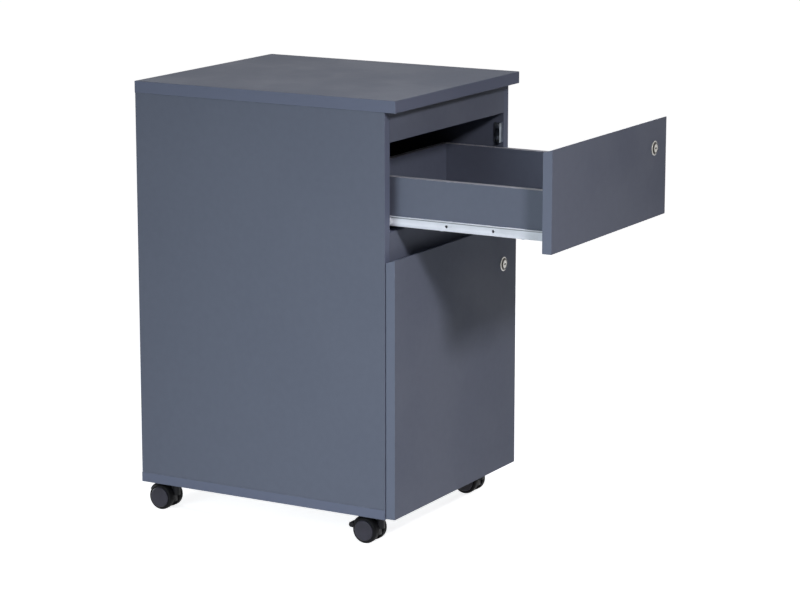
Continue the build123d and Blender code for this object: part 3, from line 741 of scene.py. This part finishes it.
def merged_copy(node: str) -> Shape:
    """Copy a node's mesh.

    Args:
        node: The node.

    Returns:
        The copy, welded, with its flat faces whole.
    """
    shape = bmesh.new()
    shape.from_mesh(NODES[node].data)
    bmesh.ops.remove_doubles(shape, verts=shape.verts, dist=WELD)
    bmesh.ops.dissolve_limit(shape, angle_limit=FLAT_ANGLE, verts=shape.verts, edges=shape.edges)
    return shape


def bevel(shape: Shape, edges: list[bmesh.types.BMEdge], width: float, segments: int) -> None:
    """Bevel edges of a shape to a round of a width, with some faces across."""
    bmesh.ops.bevel(
        shape, geom=edges, offset=width, offset_type="OFFSET", segments=segments, profile=0.5,
        affect="EDGES", material=-1, clamp_overlap=True,
    )


def under_flange(edge: bmesh.types.BMEdge) -> bool:
    """Return whether an edge is the hollow corner below a flange."""
    return not edge.is_convex and any(face.normal.z < DOWNWARD for face in edge.link_faces)


def soften(
    shape: Shape, width: float, segments: int, longest_only: float = 0.0, hollow: bool = False
) -> None:
    """Bevel the sharp edges of a shape.

    Args:
        shape: The shape.
        width: How wide the bevel is.
        segments: How many faces it has across.
        longest_only: Leave out edges shorter than this.
        hollow: Whether only the hollow corners below flanges are filled out.
    """
    sharp = [
        edge for edge in shape.edges
        if edge.is_manifold and edge.calc_face_angle() > SHARP_ANGLE and edge.calc_length() > longest_only
        and (under_flange(edge) or not hollow)
    ]
    bevel(shape, sharp, width, segments)


@dataclass
class Fitting(ABC):
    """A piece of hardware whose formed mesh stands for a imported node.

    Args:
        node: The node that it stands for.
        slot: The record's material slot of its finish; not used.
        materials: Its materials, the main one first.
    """

    node: str
    slot: Slot
    materials: list[Material]

    @abstractmethod
    def form(self) -> Shape:
        """Return the fitting's shape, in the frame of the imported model."""

    def build(self) -> bpy.types.Object:
        """Form the fitting, hang it on its body and hide the node that it stands for.

        Returns:
            The new piece.
        """
        shape = self.form()
        for face in shape.faces:
            face.smooth = True
        mesh = bpy.data.meshes.new(f"{self.node}_formed")
        shape.to_mesh(mesh)
        shape.free()
        mesh.set_sharp_from_angle(angle=SHARP_ANGLE)
        for material in self.materials:
            mesh.materials.append(material)
        piece = bpy.data.objects.new(mesh.name, mesh)
        bpy.context.scene.collection.objects.link(piece)
        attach(piece, BODY_OF[self.node])
        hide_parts(self.node)
        LOG.info("%s: %d faces on %s", piece.name, len(mesh.polygons), BODY_OF[self.node])
        return piece


@dataclass
class SoftenedFitting(Fitting):
    """A fitting with its true outline and broken edges, and with bends where sheet is folded.

    Args:
        edge: How wide the broken edges are.
        segments: How many faces a broken edge has across.
        bend: How wide the bends of folded sheet are, or 0 for none.
        bend_length: The least length of an edge that is a bend.
        bend_segments: How many faces a bend has across.
        inner_bend: How wide the hollow side of a bend is, below a flange, or 0 for as sharp as the rest.
        inner_segments: How many faces that hollow side has across.
    """

    edge: float = 0.25 * MM
    segments: int = 2
    bend: float = 0.0
    bend_length: float = 100.0 * MM
    bend_segments: int = ROUNDED
    inner_bend: float = 0.0
    inner_segments: int = 1

    def form(self) -> Shape:
        """Return the node's own shape with its edges softened."""
        shape = merged_copy(self.node)
        if self.inner_bend:
            soften(shape, self.inner_bend, self.inner_segments, self.bend_length, hollow=True)
        if self.bend:
            soften(shape, self.bend, self.bend_segments, self.bend_length)
        soften(shape, self.edge, self.segments)
        return shape


@dataclass
class CastorWheel(Fitting):
    """One wheel of a twin-wheel castor: a hollow inner side, a soft tread and a plain proud disc.

    Args:
        outward: The way along X that its disc faces.
    """

    outward: float = 1.0
    bore: float = 3.05 * MM
    hub: float = 6.5 * MM
    hub_break: float = 0.4 * MM
    hub_draft: float = 0.3 * MM
    end_wall: float = 2.0 * MM
    hollow_depth: float = 6.0 * MM
    hollow_rim: float = 2.6 * MM
    hollow_corner: float = 0.5 * MM
    rim_break: float = 0.3 * MM
    inner_chamfer: float = 0.8 * MM
    shoulder: float = 3.5 * MM
    disc: float = 15.5 * MM
    disc_height: float = 2.0 * MM
    disc_round: float = 1.6 * MM
    groove_width: float = 0.5 * MM
    groove_depth: float = 0.6 * MM
    steps: int = 96

    def form(self) -> Shape:
        """Return the wheel, spun about its axle."""
        low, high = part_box(self.node)
        radius, width = (high.z - low.z) / 2, high.x - low.x
        face = width - self.disc_height
        groove = face - self.groove_depth
        profile = [(0.0, width - self.end_wall), (self.bore, width - self.end_wall), (self.bore, 0.0)]
        profile += [(self.hub - self.hub_break, 0.0), (self.hub, self.hub_break)]
        profile += [(self.hub + self.hub_draft, self.hollow_depth)]
        rim = radius - self.hollow_rim
        profile += [(rim - self.hollow_corner, self.hollow_depth)]
        profile += [(rim, self.hollow_depth - self.hollow_corner), (rim, self.rim_break)]
        profile += [(rim + self.rim_break, 0.0)]
        profile += arc((radius - self.inner_chamfer, self.inner_chamfer), self.inner_chamfer, -90, 0, 3)
        profile += arc((radius - self.shoulder, face - self.shoulder), self.shoulder, 0, 90, 8)
        profile += [(self.disc + self.groove_width, face), (self.disc + self.groove_width, groove)]
        profile += [(self.disc, groove)]
        profile += arc((self.disc - self.disc_round, width - self.disc_round), self.disc_round, 0, 90, 6)
        profile += [(0.0, width)]
        middle = (low + high) / 2
        start = low.x if self.outward > 0 else high.x
        origin = Vector((start, middle.y, middle.z))
        shape = turned(profile, origin, Vector((self.outward, 0, 0)), Vector((0, 0, 1)), False, self.steps)
        for spot in shape.faces:
            arm = spot.calc_center_median() - origin
            if Vector((arm.y, arm.z)).length > self.disc + self.groove_width / 2:
                spot.material_index = 1
        return shape


@dataclass
class LockBody(Fitting):
    """A cam lock's body: a tapered collar with a bright rim, its flank inside the rim in a darker copy of the
    nickel as a painted dark reflection, and a threaded barrel through the board.
    """

    collar_height: float = 3.0 * MM
    collar_base: float = 1.0 * MM
    collar_lap: float = 2.0 * MM
    rim_width: float = 1.3 * MM
    face_inset: float = 2.0 * MM
    bore: float = 6.05 * MM
    face_round: float = 0.7 * MM
    face_turn: float = -40.0
    edge_break: float = 0.25 * MM
    face_lean: float = 0.97
    thread_pitch: float = 1.0 * MM
    thread_depth: float = 0.5 * MM
    thread_start: float = 4.0 * MM
    thread_root: float = 0.45
    thread_crest: float = 0.9
    steps: int = 72

    def form(self) -> Shape:
        """Return the body, spun about the lock's axis from its face to its rear."""
        low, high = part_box(self.node)
        collar, length = (high.x - low.x) / 2, high.y - low.y
        barrel = collar - self.collar_lap
        face = barrel - self.face_inset
        brim = self.collar_height - self.collar_base
        profile = [(self.bore, self.edge_break), (self.bore + self.edge_break, 0.0)]
        profile += arc((face - self.face_round, self.face_round), self.face_round, -90, self.face_turn, 4)
        foot = profile[-1]
        rim = collar - self.rim_width
        rise = (rim - foot[0]) / (collar - self.edge_break - foot[0])
        profile += [(rim, foot[1] + (brim - foot[1]) * rise)]
        profile += [(collar - self.edge_break, brim), (collar, brim + self.edge_break)]
        profile += [(collar, self.collar_height), (barrel, self.collar_height), (barrel, self.thread_start)]
        turns = int((length - self.thread_start) / self.thread_pitch) - 1
        for turn in range(turns):
            crest = self.thread_start + turn * self.thread_pitch
            profile += [(barrel - self.thread_depth, crest + self.thread_root * self.thread_pitch)]
            profile += [(barrel, crest + self.thread_crest * self.thread_pitch)]
            profile += [(barrel, crest + self.thread_pitch)]
        profile += [(barrel - self.thread_depth, length), (self.bore, length)]
        middle = (low + high) / 2
        origin = Vector((middle.x, low.y, middle.z))
        shape = turned(profile, origin, Vector((0, 1, 0)), Vector((0, 0, 1)), True, self.steps)
        # the collar's flank inside the rim takes the second material, a painted dark reflection
        for spot in shape.faces:
            arm = spot.calc_center_median() - origin
            within = arm.y < self.collar_height and Vector((arm.x, arm.z)).length < rim
            if within and spot.normal.y > -self.face_lean:
                spot.material_index = 1
        return shape


@dataclass
class LockPlug(SoftenedFitting):
    """A cam lock's plug, with painted shade in the key way behind its face."""

    key_way: float = 3.2 * MM
    key_way_depth: float = 10.0 * MM
    lip: float = 0.1 * MM

    def form(self) -> Shape:
        """Return the softened plug, its key way in the second material, a painted shade."""
        shape = super().form()
        low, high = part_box(self.node)
        middle = (low + high) / 2
        # faces inside the key way take the second material, a painted shade
        for spot in shape.faces:
            arm = spot.calc_center_median() - Vector((middle.x, low.y, middle.z))
            if self.lip < arm.y < self.key_way_depth and Vector((arm.x, arm.z)).length < self.key_way:
                spot.material_index = 1
        return shape


@dataclass
class BrakeLever(SoftenedFitting):
    """A castor's brake lever, with foot ridges across the back of its pad.

    Args:
        axle: A point on the axle that the lever turns about.
    """

    axle: Vector = Vector((0, 0, 0))
    ridge_angles: tuple[float, ...] = (8.0, 11.0, 14.0)
    ridge_width: float = 1.1 * MM
    ridge_height: float = 0.5 * MM
    ridge_inset: float = 1.2 * MM
    ridge_break: float = 0.6
    ridge_segments: int = 2

    def form(self) -> Shape:
        """Return the softened lever with its ridges."""
        shape = super().form()
        low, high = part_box(self.node)
        reach = max((vert.co - self.axle).yz.length for vert in shape.verts)
        width = high.x - low.x - 2 * self.ridge_inset
        size = Matrix.Diagonal((width, 2 * self.ridge_height, self.ridge_width, 1.0))
        for angle in self.ridge_angles:
            turn = Matrix.Rotation(radians(angle), 4, "X")
            place = Matrix.Translation(Vector(((low.x + high.x) / 2, self.axle.y, self.axle.z)))
            out = Matrix.Translation(Vector((0, reach, 0)))
            made = bmesh.ops.create_cube(shape, size=1.0, matrix=place @ turn @ out @ size)
            ridge = {edge for vert in made["verts"] for edge in vert.link_edges}
            bevel(shape, list(ridge), self.ridge_break * self.ridge_height, self.ridge_segments)
        return shape


def dress(node: str, material: Material) -> None:
    """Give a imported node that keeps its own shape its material.

    Args:
        node: The node.
        material: The material for all its slots.
    """
    for slot in NODES[node].material_slots:
        slot.material = material
    LOG.info("%s: %s", node, material.name)


# Sub-assemblies


@dataclass
class Carcass:
    """The boards of the body, their hidden joinery, and what is screwed to them."""

    boards: tuple[str, ...] = (
        "top_board", "bottom_board", "side_panel_left", "side_panel_right", "top_rail", "divider_rail",
    )
    back: str = "back_panel"
    dowels: str = "carcass_dowels"
    cam_bolts: str = "carcass_cam_bolts"
    cam_discs: str = "carcass_cam_discs"
    screws: str = "panel_screws"
    runners: str = "cabinet_runners"
    strikes: str = "strike_brackets"
    plates: str = "castor_plates"
    screw_edge: float = 0.5 * MM
    runner_edge: float = 0.2 * MM
    runner_bend: float = 0.8 * MM
    strike_bend: float = 0.7 * MM
    strike_bend_length: float = 20.0 * MM
    plate_edge: float = 0.35 * MM

    def build(self, zinc: Material, coated: Material, beech: Material) -> None:
        """Dress the boards and form the fittings.

        Args:
            zinc: The plated steel of the fittings.
            coated: The coated steel of the runners.
            beech: The wood of the dowels.
        """
        for board in self.boards:
            dress(board, GRAPHITE.material(board))
        dress(self.back, FACED_HARDBOARD.material(self.back))
        dress(self.dowels, beech)
        dress(self.cam_bolts, zinc)
        SoftenedFitting(self.cam_discs, Slot.ZINC, [zinc]).build()
        SoftenedFitting(self.screws, Slot.ZINC, [zinc], edge=self.screw_edge, segments=ROUNDED).build()
        SoftenedFitting(
            self.runners, Slot.COATED, [coated], edge=self.runner_edge, bend=self.runner_bend
        ).build()
        SoftenedFitting(
            self.strikes, Slot.ZINC, [zinc], bend=self.strike_bend, bend_length=self.strike_bend_length
        ).build()
        SoftenedFitting(self.plates, Slot.ZINC, [zinc], edge=self.plate_edge).build()


@dataclass
class CamLock:
    """A drawer's cam lock: body, nut, plug and cam."""

    level: Level
    plug_edge: float = 0.2 * MM
    nut_edge: float = 0.4 * MM
    cam_edge: float = 0.3 * MM

    def build(self, zinc: Material) -> None:
        """Form the lock's pieces.

        Args:
            zinc: The plated steel of the nut and the cam.
        """
        name = f"{self.level.value}_lock"
        body, plug = f"{name}_body", f"{name}_plug"
        LockBody(body, Slot.LOCK, [NICKEL.material(body), NICKEL_PAINTED_DARK_REFLECTION.material(body)]).build()
        plug_finish = [NICKEL.material(plug), KEY_WAY_PAINTED_SHADE.material(plug)]
        LockPlug(plug, Slot.LOCK, plug_finish, edge=self.plug_edge).build()
        SoftenedFitting(f"{name}_nut", Slot.ZINC, [zinc], edge=self.nut_edge).build()
        SoftenedFitting(f"{name}_cam", Slot.ZINC, [zinc], edge=self.cam_edge).build()


@dataclass
class RollerRunners:
    """The runners on a drawer, and the rollers of the drawer and of the cabinet."""

    level: Level
    edge: float = 0.2 * MM
    bend: float = 0.3 * MM
    inner_bend: float = 0.9 * MM
    roller_edge: float = 0.55 * MM
    screw_edge: float = 0.5 * MM

    def build(self, nylon: Material, zinc: Material) -> None:
        """Form the runners, the rollers and the screws.

        Args:
            nylon: The plastic of the rollers.
            zinc: The plated steel of the screws.
        """
        name = self.level.value
        node = f"{name}_drawer_runners"
        # the drawer runners' coat carries the painted shade line below the hem
        steel = COATED_STEEL.material(node)
        SoftenedFitting(
            node, Slot.COATED, [steel], edge=self.edge, bend=self.bend, inner_bend=self.inner_bend
        ).build()
        for rollers in (f"{name}_drawer_rollers", f"{name}_cabinet_rollers"):
            SoftenedFitting(rollers, Slot.ROLLER, [nylon], edge=self.roller_edge, segments=ROUNDED).build()
        screws = f"{name}_drawer_screws"
        SoftenedFitting(screws, Slot.ZINC, [zinc], edge=self.screw_edge, segments=ROUNDED).build()


@dataclass
class DrawerBox:
    """A drawer: its front, sides and back, its bottom and its dowels."""

    level: Level

    def build(self, beech: Material) -> None:
        """Dress the drawer's boards.

        Args:
            beech: The wood of the dowels.
        """
        name = f"{self.level.value}_drawer"
        dress(f"{name}_front", GRAPHITE_FRONT.material(f"{name}_front"))
        for board in (f"{name}_side_left", f"{name}_side_right", f"{name}_back"):
            dress(board, GRAPHITE_BOX.material(board))
        dress(f"{name}_bottom", FACED_HARDBOARD.material(f"{name}_bottom"))
        dress(f"{name}_dowels", beech)


@dataclass
class Castor:
    """A twin-wheel castor: housing, axle, two wheels and, at the front, a brake lever."""

    end: End
    side: Side
    housing_edge: float = 0.6 * MM
    axle_edge: float = 0.4 * MM
    lever_edge: float = 0.5 * MM

    def build(self, housing: Material, wheel: list[Material], zinc: Material) -> None:
        """Form the castor's pieces.

        Args:
            housing: The plastic of the housing and the lever.
            wheel: The materials of a wheel's disc and its tread.
            zinc: The plated steel of the axle.
        """
        name = f"castor_{self.end.value}_{self.side.value}"
        hood = f"{name}_housing"
        SoftenedFitting(hood, Slot.HOUSING, [housing], edge=self.housing_edge, segments=ROUNDED).build()
        SoftenedFitting(f"{name}_axle", Slot.ZINC, [zinc], edge=self.axle_edge).build()
        for hand in Side:
            node = f"{name}_wheel_{hand.value}"
            CastorWheel(node, Slot.WHEEL, wheel, outward=hand.sign).build()
        if self.end is End.FRONT:
            low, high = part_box(f"{name}_axle")
            BrakeLever(
                f"{name}_brake_lever", Slot.HOUSING, [housing], edge=self.lever_edge, segments=ROUNDED,
                axle=(low + high) / 2,
            ).build()


# Studio


@dataclass(frozen=True)
class Softbox:
    """A studio lamp with a square diffuser.

    Args:
        name: The lamp's name.
        place: Where it hangs.
        aim: The point that it faces.
        size: The side of its diffuser.
        power: Its power, in watts.
        colour: Its colour.
        spread: How wide its beam is, in degrees.
    """

    name: str
    place: tuple[float, float, float]
    aim: tuple[float, float, float]
    size: float
    power: float
    colour: Colour
    spread: float = 180.0

    def hang(self) -> None:
        """Add the lamp to the scene."""
        lamp = bpy.data.lights.new(self.name, "AREA")
        lamp.shape = "SQUARE"
        lamp.size = self.size
        lamp.energy = self.power
        lamp.color = self.colour
        lamp.spread = radians(self.spread)
        holder = bpy.data.objects.new(self.name, lamp)
        holder.location = self.place
        facing = Vector(self.aim) - Vector(self.place)
        holder.rotation_euler = facing.to_track_quat("-Z", "Y").to_euler()
        bpy.context.scene.collection.objects.link(holder)


SOFTBOXES = (
    Softbox("key", (-1.42, -2.35, 1.95), (-0.25, -0.35, 0.3), 0.4, 3.9, (0.95, 0.93, 1.0), 50.0),
    Softbox("left", (-2.2, 0.15, 0.8), (-0.19, -0.35, 0.1), 1.0, 5.6, (0.83, 0.94, 1.0), 80.0),
    Softbox("overhead", (0.0, -0.1, 2.8), (0.0, -0.1, 0.6), 2.0, 11.5, (0.9, 0.95, 1.0)),
    Softbox("right", (2.2, 0.3, 0.4), (0.19, -0.1, 0.3), 0.6, 4.4, (0.86, 0.94, 1.0), 80.0),
    Softbox("back", (0.2, 2.4, 0.4), (0.0, 0.2, 0.3), 0.6, 4.4, (0.86, 0.94, 1.0), 80.0),
)


@dataclass
class Studio:
    """A pale floor, an even surround, softboxes and the camera."""

    floor_size: float = 60.0
    floor_drop: float = 0.2 * MM
    floor_colour: Colour = (0.82, 0.82, 0.82)
    floor_glow: Span = (0.84, 1.0)
    glow_reach: Span = (0.5, 2.6)
    surround: Colour = (0.02, 0.015, 0.014)
    lens: float = 126.56
    sensor: float = 36.0
    camera_place: tuple[float, float, float] = (-3.6141, -2.1930, 1.2121)
    camera_heading: float = -60.303
    camera_pitch: float = -11.939

    def seen_directly(self, w: Wiring) -> Socket:
        """Tell rays from the camera, a reflection or a clear piece from the rest.

        Args:
            w: The wiring of a material or of the world.

        Returns:
            A value of 1 for those rays and 0 for the rest.
        """
        path = w.add("LightPath").outputs
        seen = w.math("MAXIMUM", path["Is Camera Ray"], path["Is Glossy Ray"])
        return w.math("MAXIMUM", seen, path["Is Transmission Ray"])

    def lay_floor(self) -> None:
        """Lay the floor, which looks white and keeps the object's shadow."""
        shape = bmesh.new()
        bmesh.ops.create_grid(shape, x_segments=1, y_segments=1, size=self.floor_size / 2)
        bmesh.ops.translate(shape, verts=shape.verts, vec=(0, 0, -self.floor_drop))
        mesh = bpy.data.meshes.new("floor")
        shape.to_mesh(mesh)
        shape.free()
        material, w, shader = new_material("floor.white")
        shader.inputs["Base Color"].default_value = rgba(self.floor_colour)
        shader.inputs["Roughness"].default_value = 1.0
        shader.inputs["Specular IOR Level"].default_value = 0.0
        shader.inputs["Emission Color"].default_value = rgba(WHITE)
        away = w.vector("LENGTH", w.place()).outputs["Value"]
        glow = w.ramp(away, *self.glow_reach, *self.floor_glow)
        w.feed(shader, "Emission Strength", w.math("MULTIPLY", self.seen_directly(w), glow))
        mesh.materials.append(material)
        floor = bpy.data.objects.new("floor", mesh)
        bpy.context.scene.collection.objects.link(floor)

    def light_surround(self) -> None:
        """Light the scene evenly from all round, with a white backdrop."""
        world = bpy.data.worlds.new("surround")
        world.use_nodes = True
        w = Wiring(world.node_tree)
        backdrop = world.node_tree.nodes["Background"]
        colour = w.mix(self.seen_directly(w), rgba(self.surround), rgba(WHITE))
        w.feed(backdrop, "Color", colour)
        bpy.context.scene.world = world

    def set_camera(self) -> None:
        """Set the camera at the photograph's viewing angle."""
        camera = bpy.data.cameras.new("camera")
        camera.lens = self.lens
        camera.sensor_width = self.sensor
        camera.sensor_fit = "HORIZONTAL"
        holder = bpy.data.objects.new("camera", camera)
        holder.location = self.camera_place
        holder.rotation_euler = (radians(90 + self.camera_pitch), 0.0, radians(self.camera_heading))
        bpy.context.scene.collection.objects.link(holder)
        bpy.context.scene.camera = holder

    def build(self) -> None:
        """Set up the floor, the light and the camera."""
        self.lay_floor()
        self.light_surround()
        for softbox in SOFTBOXES:
            softbox.hang()
        self.set_camera()
        bpy.context.scene.view_settings.view_transform = "Standard"


def main() -> None:
    """Dress the drawer unit and set it in the studio."""
    logging.basicConfig(level=logging.INFO, format="%(name)s: %(message)s")
    zinc, coated, nylon = ZINC.material(), COATED_STEEL.material(), NYLON.material()
    beech, housing = BEECH.material(), HOUSING.material()
    wheel = [WHEEL_DISC.material(), WHEEL_TREAD.material()]
    Carcass().build(zinc, coated, beech)
    for level in Level:
        DrawerBox(level).build(beech)
        RollerRunners(level).build(nylon, zinc)
        CamLock(level).build(zinc)
    for end in End:
        for side in Side:
            Castor(end, side).build(housing, wheel, zinc)
    Studio().build()


if __name__ == "__main__":
    main()
